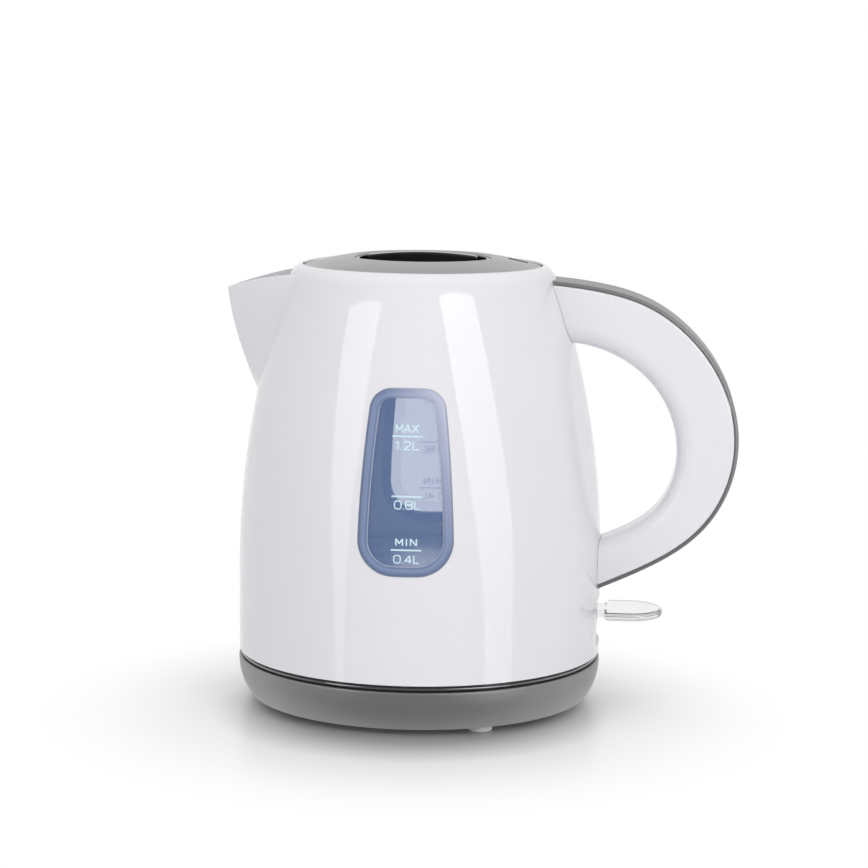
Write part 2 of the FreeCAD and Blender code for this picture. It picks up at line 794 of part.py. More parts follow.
def make_lever():
    low = lever_height - lever_thickness / 2
    high = lever_height + lever_thickness / 2
    hub = cross_bar(lever_hub, lever_hub_half, lever_pivot, lever_height)
    arm = box(lever_pivot, paddle_bend, -lever_arm_half, lever_arm_half, low, high)
    half = paddle_half_width
    corner = paddle_corner
    turn = corner * (1 - math.sqrt(0.5))
    near = [V(paddle_start + corner, -half, low), V(paddle_bend, -half, low)]
    far = [V(paddle_bend, half, low), V(paddle_start + corner, half, low)]
    inner = [V(paddle_start, half - corner, low), V(paddle_start, corner - half, low)]
    tip = V(paddle_bend + paddle_nose, 0, low)
    nose = Part.Ellipse(far[0], tip, V(paddle_bend, 0, low))
    edges = [Part.makeLine(near[0], near[1]), nose.toShape(0, math.pi)]
    edges.append(Part.makeLine(far[0], far[1]))
    edges.append(Part.Arc(far[1], V(paddle_start + turn, half - turn, low), inner[0]).toShape())
    edges.append(Part.makeLine(inner[0], inner[1]))
    edges.append(Part.Arc(inner[1], V(paddle_start + turn, turn - half, low), near[0]).toShape())
    paddle = Part.Face(Part.Wire(edges)).extrude(V(0, 0, lever_thickness))
    edges = []
    for edge in paddle.Edges:
        if edge.BoundBox.ZLength < 0.01:
            edges.append(edge)
    paddle = paddle.makeFillet(paddle_round, edges)
    bore = cross_bar(lever_pin + pin_gap, body_radius, lever_pivot, lever_height)
    return hub.fuse(arm).fuse(paddle).cut(bore)


# Lid
def make_lid_ring():
    outer_top = (lid_radius - lid_edge_round, lid_edge_high)
    turn = lid_edge_round * (1 - math.sqrt(0.5))
    edge_middle = (lid_radius - turn, lid_edge_high - turn)
    edge_end = (lid_radius, lid_edge_high - lid_edge_round)
    inner_top = (lid_hole + lid_lip_width, lid_inner_high)
    middle = ((outer_top[0] + inner_top[0]) / 2, (outer_top[1] + inner_top[1]) / 2 + lid_dome)
    bend = (lid_lip_width ** 2 + lid_lip ** 2) / (2 * lid_lip)
    lip_drop_middle = bend - math.sqrt(bend ** 2 - (lid_lip_width / 2) ** 2)
    lip_middle = (lid_hole + lid_lip_width / 2, lid_inner_high - lip_drop_middle)
    lip_end = (lid_hole, lid_inner_high - lid_lip)
    edges = [arc(outer_top, middle, inner_top), arc(inner_top, lip_middle, lip_end)]
    edges.append(line(lip_end, (lid_hole, lid_under)))
    edges.append(line((lid_hole, lid_under), (plug_radius, lid_edge_low)))
    edges.append(line((plug_radius, lid_edge_low), (lid_radius, lid_edge_low)))
    edges.append(line((lid_radius, lid_edge_low), edge_end))
    edges.append(arc(edge_end, edge_middle, outer_top))
    ring = revolve(edges)
    low = plug_bottom + plug_floor + fit_gap
    for x, y in around(lid_screw_circle, screw_count, 30):
        boss = cylinder(lid_boss_radius, low, lid_edge_low + 2, x, y)
        hole = cylinder(screw_radius + fit_gap, low - 1, low + screw_length + 2, x, y)
        ring = ring.fuse(boss.cut(hole))
    return ring


def make_lid_well():
    inner = well_radius - well_wall
    edge = well_radius + well_flange
    slope = (lid_under - lid_edge_low) / (plug_radius - lid_hole)
    level = lid_under - slope * (edge - lid_hole) - fit_gap
    well = cylinder(well_radius, well_floor - well_wall, well_rim)
    well = well.fuse(cylinder(edge, level - well_flange_thickness, level))
    return well.cut(cylinder(inner, well_floor, well_rim + 1))


def make_lid_grip():
    low = well_floor + fit_gap
    start = (-grip_half_length, grip_top - grip_arch)
    end = (grip_half_length, grip_top - grip_arch)
    edges = [arc(start, (0, grip_top), end), line(end, (grip_half_length, low))]
    edges.append(line((grip_half_length, low), (-grip_half_length, low)))
    edges.append(line((-grip_half_length, low), start))
    blade = slab(edges, grip_half_width)
    edges = []
    for edge in blade.Edges:
        if edge.CenterOfMass.z > low + 1:
            edges.append(edge)
    return blade.makeFillet(grip_round, edges)


def make_lid_plug():
    plug = cylinder(plug_radius, plug_bottom, lid_edge_low - fit_gap)
    plug = plug.cut(cylinder(plug_radius - plug_wall, plug_bottom + plug_floor, lid_edge_low))
    for i in range(bayonet_count):
        middle = 360.0 * i / bayonet_count
        lug = sector(lug_radius, plug_radius - 1, lug_low, lug_low + lug_height, middle, lug_angle)
        plug = plug.fuse(lug)
    screws = []
    for x, y in around(lid_screw_circle, screw_count, 30):
        hole_top = plug_bottom + plug_floor + 1
        plug = plug.cut(cylinder(screw_radius + fit_gap, plug_bottom - 1, hole_top, x, y))
        screws.append(screw(x, y, plug_bottom, screw_length))
    return plug, Part.makeCompound(screws)


def make_lid_seal():
    return tube(lid_radius - fit_gap, lid_seal_inner, mouth_seat + rest_gap, lid_edge_low - rest_gap)


# Power base: the radius of its curved side at a height, moved inwards by an inset
def base_side_radius(height, inset):
    narrowing = base_radius - base_bottom_radius
    bend = (narrowing ** 2 + base_side_top ** 2) / (2 * narrowing)
    return base_radius - bend + math.sqrt((bend - inset) ** 2 - (base_side_top - height) ** 2)


def base_bowl(inset, low, high):
    spots = []
    for height in (low, (low + high) / 2, high):
        spots.append((base_side_radius(height, inset), height))
    edges = [line((0, low), spots[0]), arc(spots[0], spots[1], spots[2]), line(spots[2], (0, high))]
    edges.append(line((0, high), (0, low)))
    return revolve(edges)


def make_base_shell():
    rim = cylinder(base_radius, base_side_top, base_height)
    edges = []
    for edge in rim.Edges:
        if edge.BoundBox.ZLength < 0.01 and edge.CenterOfMass.z > base_height - 0.01:
            edges.append(edge)
    shell = base_bowl(0.0, 0.0, base_side_top).fuse(rim.makeFillet(rim_round, edges))
    shell = shell.cut(cylinder(base_radius - rim_width, dish_floor, base_height + 1))
    shell = shell.cut(base_bowl(base_wall, -1.0, dish_floor - dish_thickness))
    shell = shell.cut(cylinder(tower_radius + fit_gap, 0, dish_floor + 1))
    low = cover_plate + fit_gap
    for x, y in around(base_screw_circle, screw_count, foot_angle + 60):
        boss = cylinder(base_boss_radius, low, dish_floor - 1, x, y)
        hole = cylinder(screw_radius + fit_gap, low - 1, dish_floor - dish_thickness + 1, x, y)
        shell = shell.fuse(boss).cut(hole)
    reach = base_radius + 10
    inlet = Part.makeCylinder(gland_radius + fit_gap, reach / 3, V(0, reach, gland_height), V(0, -1, 0))
    return shell.cut(inlet)


def make_base_cover():
    cover = cylinder(base_side_radius(0.0, base_wall) - cover_edge_gap, 0, cover_plate)
    seat = screw_head + fit_gap
    screws = []
    for x, y in around(base_screw_circle, screw_count, foot_angle + 60):
        cover = cover.cut(cylinder(screw_radius + fit_gap, -1, cover_plate + 1, x, y))
        cover = cover.cut(cylinder(screw_head_radius + fit_gap, -1, seat, x, y))
        screws.append(screw(x, y, seat, screw_length - 2))
    feet = []
    for x, y in around(foot_circle, screw_count, foot_angle):
        cover = cover.cut(cylinder(foot_radius + fit_gap, -1, foot_plug, x, y))
        foot = cylinder(foot_radius, -foot_height, foot_plug, x, y)
        feet.append(foot.makeFillet(foot_round, [foot.Edges[2]]))
    return cover, Part.makeCompound(screws), Part.makeCompound(feet)


def make_connector():
    low = cover_plate + fit_gap
    high = dish_floor + tower_height
    tower = cylinder(tower_radius, low, high)
    tower = tower.cut(tube(groove_outer, groove_inner, high - groove_depth, high + 1))
    tower = tower.cut(cylinder(contact_well_radius, high - groove_depth, high + 1))
    tower = tower.fuse(cylinder(tower_radius + tower_foot, low, low + tower_foot_thickness))
    floor = high - groove_depth + fit_gap
    pin = cylinder(contact_pin_radius, floor, high - contact_drop)
    ring = tube(contact_ring_radius + contact_ring_wall, contact_ring_radius, floor, high - contact_drop)
    return tower, Part.makeCompound([pin, ring])


def make_gland():
    end = base_radius + gland_out
    gland = Part.makeCylinder(gland_radius, gland_length, V(0, end, gland_height), V(0, -1, 0))
    inside = V(0, end - gland_length + 1, gland_height)
    collar = Part.makeCylinder(gland_radius + gland_collar, gland_collar_length, inside, V(0, -1, 0))
    bore = Part.makeCylinder(gland_bore, 2 * gland_length, V(0, end + 1, gland_height), V(0, -1, 0))
    return gland.fuse(collar).cut(bore)


save("base_shell", make_base_shell())
base_cover, base_screws, base_feet = make_base_cover()
save("base_cover", base_cover)
save("base_screws", base_screws)
save("base_feet", base_feet)
base_connector, base_contacts = make_connector()
save("base_connector", base_connector)
save("base_contacts", base_contacts)
save("cord_gland", make_gland())
save("kettle_socket", make_socket())
save("body_shell", make_body_shell())
handle_shell, handle_cover, handle_screw = make_handle()
save("handle_shell", handle_shell)
save("handle_cover", handle_cover)
save("handle_screw", handle_screw)
window = make_window()
save("window_front", window)
save("window_rear", turned(window))
window_seal = make_window_seal()
save("window_seal_front", window_seal)
save("window_seal_rear", turned(window_seal))
filter_frame, filter_mesh = make_filter()
save("filter_frame", filter_frame)
save("filter_mesh", filter_mesh)
heater_plate, heater_seal, heat_spreader, heater_element = make_heater()
save("heater_plate", heater_plate)
save("heater_seal", heater_seal)
save("heat_spreader", heat_spreader)
save("heater_element", heater_element)
control_unit, bimetal_discs = make_control()
save("control_unit", control_unit)
save("bimetal_discs", bimetal_discs)
save("steam_tube", make_steam_tube())
steam_switch, lamp, switch_pin = make_switch()
save("steam_switch", steam_switch)
save("lamp", lamp)
save("switch_pin", switch_pin)
bottom_cover, bottom_screws = make_under_cover()
save("bottom_cover", bottom_cover)
save("bottom_screws", bottom_screws)
save("switch_lever", make_lever())
save("lid_seal", make_lid_seal())
save("lid_ring", make_lid_ring())
save("lid_well", make_lid_well())
save("lid_grip", make_lid_grip())
lid_plug, lid_screws = make_lid_plug()
save("lid_plug", lid_plug)
save("lid_screws", lid_screws)
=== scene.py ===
import json
import math

import bmesh
import bpy
from mathutils import Matrix, Vector
from mathutils.bvhtree import BVHTree


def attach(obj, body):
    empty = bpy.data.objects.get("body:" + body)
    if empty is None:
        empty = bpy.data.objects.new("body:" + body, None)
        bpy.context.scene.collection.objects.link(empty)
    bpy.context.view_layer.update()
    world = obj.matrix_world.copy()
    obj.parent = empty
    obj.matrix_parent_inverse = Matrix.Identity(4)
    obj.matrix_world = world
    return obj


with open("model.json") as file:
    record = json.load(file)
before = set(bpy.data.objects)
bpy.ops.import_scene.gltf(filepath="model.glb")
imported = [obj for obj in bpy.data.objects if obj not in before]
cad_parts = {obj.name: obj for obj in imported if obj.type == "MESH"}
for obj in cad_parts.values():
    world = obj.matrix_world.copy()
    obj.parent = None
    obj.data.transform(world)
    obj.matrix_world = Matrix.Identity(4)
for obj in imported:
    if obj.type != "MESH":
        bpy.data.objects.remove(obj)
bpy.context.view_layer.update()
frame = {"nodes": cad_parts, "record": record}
nodes = frame["nodes"]
scene = bpy.context.scene

# Sizes of the jug wall, in metres: straight below, then one long arc that leans inwards
wall_radius = 0.0795
wall_bend_start = 0.057
wall_bend = 0.378
# The table's level, and how far a window's panel and its flat border lie below the wall's skin
table = -0.003
panel_depth = 0.0009
border_depth = 0.0003
# Points nearer than this are one point
merge_reach = 0.000002


def wall_at(height):
    if height <= wall_bend_start:
        return wall_radius
    return wall_radius - wall_bend + math.sqrt(wall_bend ** 2 - (height - wall_bend_start) ** 2)


# Shader nodes: one call adds a node, sets its plain values and links its other inputs. An input goes by its
# name, or by its number as i0, i1 and so on.
def add(tree, kind, settings=None, **inputs):
    node = tree.nodes.new("ShaderNode" + kind)
    for key, value in (settings or {}).items():
        setattr(node, key, value)
    for key, value in inputs.items():
        numbered = key[0] == "i" and key[1:].isdigit()
        socket = node.inputs[int(key[1:]) if numbered else key.replace("_", " ")]
        if hasattr(value, "is_output"):
            tree.links.new(value, socket)
        else:
            socket.default_value = value
    return node


def new_group(name, inputs, outputs):
    tree = bpy.data.node_groups.new(name, "ShaderNodeTree")
    for label, value in inputs.items():
        socket = tree.interface.new_socket(label, in_out="INPUT", socket_type="NodeSocketFloat")
        socket.default_value = value
    for label in outputs:
        tree.interface.new_socket(label, in_out="OUTPUT", socket_type="NodeSocketFloat")
    return tree, tree.nodes.new("NodeGroupInput"), tree.nodes.new("NodeGroupOutput")


def use_group(tree, group, **inputs):
    node = tree.nodes.new("ShaderNodeGroup")
    node.node_tree = group
    for key, value in inputs.items():
        node.inputs[key.replace("_", " ")].default_value = value
    return node


# Moulded surface: fine grain with a slow wave under it, as a height and as a change of gloss
def make_moulded():
    sizes = {"Grain": 900.0, "Wave": 45.0}
    tree, given, out = new_group("moulded surface", sizes, ("Height", "Gloss", "Patch"))
    place = add(tree, "TexCoord").outputs["Object"]
    grain = add(tree, "TexNoise", Vector=place, Scale=given.outputs["Grain"], Detail=3.0, Roughness=0.55)
    wave = add(tree, "TexNoise", Vector=place, Scale=given.outputs["Wave"], Detail=2.0, Roughness=0.5)
    patch = add(tree, "TexNoise", Vector=place, Scale=14.0, Detail=4.0, Roughness=0.6)
    both = add(tree, "Math", {"operation": "MULTIPLY_ADD"}, i0=wave.outputs[0], i1=0.65, i2=grain.outputs[0])
    gloss = add(tree, "Math", {"operation": "MULTIPLY"}, i0=wave.outputs[0], i1=patch.outputs[0])
    tree.links.new(both.outputs[0], out.inputs["Height"])
    tree.links.new(gloss.outputs[0], out.inputs["Gloss"])
    tree.links.new(patch.outputs[0], out.inputs["Patch"])
    return tree


# Rubbed edges: where the rounded normal leaves the true one, broken up by noise
def make_rubbed():
    tree, given, out = new_group("rubbed edges", {"Radius": 0.0006, "Break": 260.0}, ("Mask",))
    place = add(tree, "TexCoord").outputs["Object"]
    round_normal = add(tree, "Bevel", {"samples": 4}, Radius=given.outputs["Radius"])
    true_normal = add(tree, "NewGeometry").outputs["Normal"]
    match = add(tree, "VectorMath", {"operation": "DOT_PRODUCT"}, i0=round_normal.outputs[0], i1=true_normal)
    edge = add(tree, "MapRange", i0=match.outputs["Value"], i1=0.995, i2=0.86, i3=0.0, i4=1.0)
    broken = add(tree, "TexNoise", Vector=place, Scale=given.outputs["Break"], Detail=4.0, Roughness=0.65)
    mask = add(tree, "Math", {"operation": "MULTIPLY"}, i0=edge.outputs[0], i1=broken.outputs[0])
    tree.links.new(mask.outputs[0], out.inputs["Mask"])
    return tree


# Settled dust: thin, only on faces that look up
def make_dust():
    tree, given, out = new_group("settled dust", {"Scale": 120.0}, ("Mask",))
    place = add(tree, "TexCoord").outputs["Object"]
    facing = add(tree, "SeparateXYZ", Vector=add(tree, "NewGeometry").outputs["Normal"])
    level = add(tree, "MapRange", i0=facing.outputs["Z"], i1=0.55, i2=1.0, i3=0.0, i4=1.0)
    specks = add(tree, "TexNoise", Vector=place, Scale=given.outputs["Scale"], Detail=6.0, Roughness=0.7)
    thin = add(tree, "MapRange", i0=specks.outputs[0], i1=0.5, i2=0.75, i3=0.0, i4=1.0)
    mask = add(tree, "Math", {"operation": "MULTIPLY"}, i0=level.outputs[0], i1=thin.outputs[0])
    tree.links.new(mask.outputs[0], out.inputs["Mask"])
    return tree


# Metal flake in paint: tiny cells, each a little lighter or darker
def make_flake():
    tree, given, out = new_group("metal flake", {"Scale": 5200.0}, ("Shade",))
    place = add(tree, "TexCoord").outputs["Object"]
    cells = add(tree, "TexVoronoi", Vector=place, Scale=given.outputs["Scale"])
    shade = add(tree, "SeparateColor", Color=cells.outputs["Color"])
    tree.links.new(shade.outputs[0], out.inputs["Shade"])
    return tree


# Turned or brushed metal: fine lines round the upright axis
def make_lines():
    tree, given, out = new_group("turned lines", {"Pitch": 2600.0}, ("Height", "Shade"))
    place = add(tree, "SeparateXYZ", Vector=add(tree, "TexCoord").outputs["Object"])
    square_x = add(tree, "Math", {"operation": "MULTIPLY"}, i0=place.outputs["X"], i1=place.outputs["X"])
    square = add(tree, "Math", {"operation": "MULTIPLY_ADD"},
                 i0=place.outputs["Y"], i1=place.outputs["Y"], i2=square_x.outputs[0])
    reach = add(tree, "Math", {"operation": "SQRT"}, i0=square.outputs[0])
    along = add(tree, "CombineXYZ", X=reach.outputs[0], Y=place.outputs["Z"])
    streaks = add(tree, "TexNoise", Vector=along.outputs[0], Scale=given.outputs["Pitch"],
                  Detail=2.0, Roughness=0.6)
    tree.links.new(streaks.outputs[0], out.inputs["Height"])
    tree.links.new(streaks.outputs[0], out.inputs["Shade"])
    return tree


moulded = make_moulded()
rubbed = make_rubbed()
dust = make_dust()
flake = make_flake()
lines = make_lines()


def new_material(name):
    material = bpy.data.materials.new(name)
    material.use_nodes = True
    tree = material.node_tree
    return material, tree, tree.nodes["Principled BSDF"]


# Colour that leans from one tone to another by a mask. These are the numbers of a Mix node's colour sockets.
mix_first, mix_second, mix_result = 6, 7, 2


def blend_colour(tree, mask, first, second):
    mix = add(tree, "Mix", {"data_type": "RGBA"}, i0=mask)
    for socket, value in ((mix.inputs[mix_first], first), (mix.inputs[mix_second], second)):
        if hasattr(value, "is_output"):
            tree.links.new(value, socket)
        else:
            socket.default_value = (*value, 1.0)
    return mix.outputs[mix_result]


def spread(tree, value, low, high, start=0.0, end=1.0):
    return add(tree, "MapRange", i0=value, i1=start, i2=end, i3=low, i4=high).outputs[0]


def bump(tree, shader, height, strength, depth):
    node = add(tree, "Bump", Strength=strength, Distance=depth, Height=height)
    tree.links.new(node.outputs[0], shader.inputs["Normal"])


# Two close tones in slow patches
def patchy(tree, skin, colour, second):
    return blend_colour(tree, spread(tree, skin.outputs["Patch"], 0.0, 1.0, 0.3, 0.7), colour, second)


# Roughness that follows the moulded surface between two values
def gloss_of(tree, skin, gloss):
    return spread(tree, skin.outputs["Gloss"], gloss[0], gloss[1], 0.1, 0.45)


# Values that are the same all over a material, on the shader's own sockets
def set_values(shader, values):
    for key, value in values.items():
        shader.inputs[key.replace("_", " ")].default_value = value


# Solid when seen from outside the jug, thin when seen from inside it
def cover_from_outside(tree, shader, thin):
    outer = add(tree, "Attribute", {"attribute_name": "outer"}).outputs["Fac"]
    behind = add(tree, "NewGeometry").outputs["Backfacing"]
    facing = add(tree, "Math", {"operation": "SUBTRACT"}, i0=outer, i1=behind)
    tree.links.new(spread(tree, facing.outputs[0], thin, 1.0), shader.inputs["Alpha"])


# Depth of the surface relief on plastic and paint, and on clear pieces and metal
grain_depth = 0.00004
fine_depth = 0.00003
# Colours of dust, and how much more it adds to the roughness than to the colour
plastic_dust = (0.62, 0.60, 0.57)
paint_dust = (0.60, 0.58, 0.55)
dust_dulling = 1.5


# Moulded plastic, gloss or matt
def plastic(name, colour, second, worn, gloss, grain=900.0, wave=45.0, peel=0.04, dusty=0.04, **values):
    material, tree, shader = new_material(name)
    skin = use_group(tree, moulded, Grain=grain, Wave=wave)
    edges = use_group(tree, rubbed)
    film = use_group(tree, dust)
    tone = patchy(tree, skin, colour, second)
    tone = blend_colour(tree, spread(tree, edges.outputs["Mask"], 0.0, 0.6), tone, worn)
    tone = blend_colour(tree, spread(tree, film.outputs["Mask"], 0.0, dusty), tone, plastic_dust)
    tree.links.new(tone, shader.inputs["Base Color"])
    rough = add(tree, "Math", {"operation": "ADD"},
                i0=gloss_of(tree, skin, gloss),
                i1=spread(tree, film.outputs["Mask"], 0.0, dusty * dust_dulling))
    tree.links.new(rough.outputs[0], shader.inputs["Roughness"])
    bump(tree, shader, skin.outputs["Height"], peel, grain_depth)
    set_values(shader, values)
    return material


# See-through plastic
def see_through(name, colour, second, gloss, grain=700.0, peel=0.02, **values):
    material, tree, shader = new_material(name)
    skin = use_group(tree, moulded, Grain=grain, Wave=30.0)
    tone = patchy(tree, skin, colour, second)
    tree.links.new(tone, shader.inputs["Base Color"])
    tree.links.new(gloss_of(tree, skin, gloss), shader.inputs["Roughness"])
    bump(tree, shader, skin.outputs["Height"], peel, fine_depth)
    shader.inputs["Transmission Weight"].default_value = 1.0
    set_values(shader, values)
    return material


# Tinted window plastic: a thin coloured veil on a face's front, nearly clear on its back
clear_back = 0.04


def tinted(name, colour, second, gloss, veil):
    material, tree, shader = new_material(name)
    skin = use_group(tree, moulded, Grain=700.0, Wave=30.0)
    tone = patchy(tree, skin, colour, second)
    tree.links.new(tone, shader.inputs["Base Color"])
    tree.links.new(gloss_of(tree, skin, gloss), shader.inputs["Roughness"])
    bump(tree, shader, skin.outputs["Height"], 0.01, fine_depth)
    behind = add(tree, "NewGeometry").outputs["Backfacing"]
    tree.links.new(spread(tree, behind, veil, clear_back), shader.inputs["Alpha"])
    return material


# Frosted window rim with painted shading and painted light: deep along its outer half and light along the
# inner one as if its round profile were lit, pale thin lines at its edges as painted highlights, and paler
# towards its upper handle side as painted light, over these stretches in metres
rim_highlight = (0.58, 0.62, 0.74)
rim_lit_aside = (-0.011, 0.011)
rim_lit_rise = (0.075, 0.146)


def frosted_rim(name, deep, light, pale, gloss, thin):
    material, tree, shader = new_material(name)
    skin = use_group(tree, moulded)
    across = add(tree, "Attribute", {"attribute_name": "across"}).outputs["Fac"]
    place = add(tree, "SeparateXYZ", Vector=add(tree, "TexCoord").outputs["Object"])
    # Painted shading across the rim, as if its rounded profile were lit: deep along its outer half, light along
    # the inner one
    rise = spread(tree, across, 0.0, 1.0, 0.15, 0.62)
    fall = spread(tree, across, 1.0, 0.1, 0.68, 0.86)
    crown_shading = add(tree, "Math", {"operation": "MULTIPLY"}, i0=rise, i1=fall).outputs[0]
    tone = blend_colour(tree, crown_shading, deep, light)
    # Painted light: paler towards the handle side and towards the top
    aside = spread(tree, place.outputs["X"], 0.0, 1.0, *rim_lit_aside)
    upward = spread(tree, place.outputs["Z"], 0.0, 1.0, *rim_lit_rise)
    lit = add(tree, "Math", {"operation": "MULTIPLY"}, i0=aside, i1=upward).outputs[0]
    tone = blend_colour(tree, lit, tone, pale)
    # Painted highlights: pale thin lines along the inner and outer edges
    inner_highlight = spread(tree, across, 0.0, 0.7, 0.90, 0.98)
    outer_highlight = spread(tree, across, 0.6, 0.0, 0.02, 0.10)
    edge_highlight = add(tree, "Math", {"operation": "MAXIMUM"}, i0=inner_highlight, i1=outer_highlight).outputs[0]
    tone = blend_colour(tree, edge_highlight, tone, rim_highlight)
    tone = blend_colour(tree, spread(tree, skin.outputs["Patch"], 0.0, 0.08, 0.3, 0.7), tone, pale)
    tree.links.new(tone, shader.inputs["Base Color"])
    tree.links.new(gloss_of(tree, skin, gloss), shader.inputs["Roughness"])
    bump(tree, shader, skin.outputs["Height"], 0.05, grain_depth)
    cover_from_outside(tree, shader, thin)
    return material


# Satin silver paint with metal flake in it
def silver_paint(name, colour, second, worn, gloss, **values):
    material, tree, shader = new_material(name)
    skin = use_group(tree, moulded, Grain=1400.0, Wave=60.0)
    spark = use_group(tree, flake)
    edges = use_group(tree, rubbed)
    film = use_group(tree, dust)
    tone = blend_colour(tree, spark.outputs["Shade"], colour, second)
    tone = blend_colour(tree, spread(tree, edges.outputs["Mask"], 0.0, 0.7), tone, worn)
    tone = blend_colour(tree, spread(tree, film.outputs["Mask"], 0.0, 0.05), tone, paint_dust)
    tree.links.new(tone, shader.inputs["Base Color"])
    tree.links.new(gloss_of(tree, skin, gloss), shader.inputs["Roughness"])
    bump(tree, shader, skin.outputs["Height"], 0.08, grain_depth)
    set_values(shader, values)
    return material


# Bare metal with fine turned lines
bright_edge = (0.86, 0.85, 0.83)


def metal(name, colour, second, gloss, pitch=2600.0, strength=0.12):
    material, tree, shader = new_material(name)
    turned = use_group(tree, lines, Pitch=pitch)
    edges = use_group(tree, rubbed)
    skin = use_group(tree, moulded, Grain=600.0, Wave=50.0)
    tone = blend_colour(tree, turned.outputs["Shade"], colour, second)
    tone = blend_colour(tree, spread(tree, edges.outputs["Mask"], 0.0, 0.8), tone, bright_edge)
    tree.links.new(tone, shader.inputs["Base Color"])
    tree.links.new(gloss_of(tree, skin, gloss), shader.inputs["Roughness"])
    bump(tree, shader, turned.outputs["Height"], strength, fine_depth)
    shader.inputs["Metallic"].default_value = 1.0
    return material


white = (0.79, 0.785, 0.825)
finishes = {
    "white_plastic": plastic("white gloss plastic", white, (0.81, 0.805, 0.84), (0.85, 0.85, 0.87),
                             (0.012, 0.03), grain=1500.0, wave=38.0, peel=0.004, IOR=1.5),
    "silver_plastic": silver_paint("satin silver paint", (0.268, 0.268, 0.271), (0.284, 0.284, 0.287),
                                   (0.48, 0.48, 0.48), (0.42, 0.50), Metallic=0.8, IOR=1.7),
    "blue_window": tinted("blue window plastic", (0.265, 0.405, 0.765), (0.295, 0.435, 0.795),
                          (0.02, 0.06), 0.36),
    "clear_plastic": see_through("clear plastic", (0.84, 0.85, 0.86), (0.81, 0.82, 0.83),
                                 (0.02, 0.05), IOR=1.49),
    "black_plastic": plastic("gloss black plastic", (0.012, 0.012, 0.013), (0.017, 0.017, 0.018),
                             (0.05, 0.05, 0.05), (0.08, 0.16), peel=0.03, IOR=1.5),
    "dark_plastic": plastic("gloss dark grey plastic", (0.024, 0.024, 0.026), (0.032, 0.032, 0.034),
                            (0.10, 0.10, 0.10), (0.05, 0.12), peel=0.03, IOR=1.5),
    "inner_plastic": plastic("matt dark plastic", (0.05, 0.05, 0.052), (0.07, 0.07, 0.072),
                             (0.14, 0.14, 0.14), (0.45, 0.62), peel=0.25, IOR=1.48),
    "pale_plastic": plastic("matt pale plastic", (0.66, 0.66, 0.68), (0.70, 0.70, 0.72),
                            (0.80, 0.80, 0.80), (0.35, 0.5), peel=0.15, IOR=1.48),
    "steel": metal("brushed steel", (0.52, 0.52, 0.53), (0.68, 0.68, 0.69), (0.22, 0.36)),
    "aluminium": metal("pressed aluminium", (0.62, 0.62, 0.63), (0.74, 0.74, 0.75), (0.34, 0.5),
                       pitch=1200.0),
    "brass": metal("turned brass", (0.62, 0.44, 0.16), (0.76, 0.58, 0.26), (0.18, 0.32)),
    "soft_clear": see_through("soft clear plastic", (0.86, 0.87, 0.88), (0.80, 0.81, 0.83), (0.18, 0.30),
                              peel=0.1, IOR=1.42, Transmission_Weight=0.25),
    "soft_grey": plastic("soft grey seal", (0.34, 0.34, 0.35), (0.40, 0.40, 0.41), (0.5, 0.5, 0.5),
                         (0.6, 0.78), peel=0.3, IOR=1.42),
}
for subpart in frame["record"]["subparts"]:
    for slot in nodes[subpart["node"]].material_slots:
        slot.material = finishes[subpart["material_slot"]]
# A lighter copy of the satin silver paint for the lid ring: painted light, because the ring faces up to the top
# light and catches the bright backdrop
lit_lid_silver = silver_paint("silver paint of the lid, lightened as painted light", (0.285, 0.285, 0.29), (0.305, 0.305, 0.31),
                          (0.5, 0.5, 0.5), (0.26, 0.36), Metallic=0.75, IOR=1.7)
for slot in nodes["lid_ring"].material_slots:
    slot.material = lit_lid_silver


# New pieces: a finished bmesh becomes an object at the origin that rides on a body
def piece(name, mesh, body, material, smooth=40.0):
    bmesh.ops.remove_doubles(mesh, verts=mesh.verts, dist=merge_reach)
    bmesh.ops.recalc_face_normals(mesh, faces=mesh.faces)
    for face in mesh.faces:
        face.smooth = True
    for edge in mesh.edges:
        edge.smooth = len(edge.link_faces) == 2 and edge.calc_face_angle(0.0) < math.radians(smooth)
    data = bpy.data.meshes.new(name)
    mesh.to_mesh(data)
    mesh.free()
    data.materials.append(material)
    made = bpy.data.objects.new(name, data)
    scene.collection.objects.link(made)
    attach(made, body)
    return made


# Points of the longest open edge loop of a mesh, in order
def outer_loop(mesh):
    loops = []
    walked = set()
    for edge in mesh.edges:
        if edge in walked or len(edge.link_faces) != 1:
            continue
        walked.add(edge)
        chain = list(edge.verts)
        while chain[-1] != chain[0]:
            for following in chain[-1].link_edges:
                if following not in walked and len(following.link_faces) == 1:
                    break
            walked.add(following)
            chain.append(following.other_vert(chain[-1]))
        loops.append([vert.co.copy() for vert in chain[:-1]])
    return max(loops, key=lambda loop: sum((loop[i] - loop[i - 1]).length for i in range(len(loop))))


# Round strokes along curves, made a bmesh
def new_curve(name, radius, corners):
    curve = bpy.data.curves.new(name, "CURVE")
    curve.dimensions = "3D"
    curve.bevel_depth = radius
    curve.bevel_resolution = corners
    return curve


def add_stroke(curve, points, closed):
    spline = curve.splines.new("POLY")
    spline.points.add(len(points) - 1)
    spline.use_cyclic_u = closed
    for point, place in zip(spline.points, points):
        point.co = (*place, 1.0)


def curve_to_mesh(curve):
    path = bpy.data.objects.new(curve.name, curve)
    scene.collection.objects.link(path)
    data = bpy.data.meshes.new_from_object(path)
    bpy.data.objects.remove(path)
    mesh = bmesh.new()
    mesh.from_mesh(data)
    return mesh


# Rounded frosted rim of a level window: a tube along the middle of the flat border, pressed flat on the wall
rim_half_width = 0.0022
rim_flatness = 0.42
rim_corners = 5
# A face belongs to the border if it lies this near to it and its normal leans outwards by this share
skin_tolerance = 0.00012
outward_share = 0.5
# A point of the rim that is this far under the border's skin still counts as outside
outer_tolerance = 0.0001


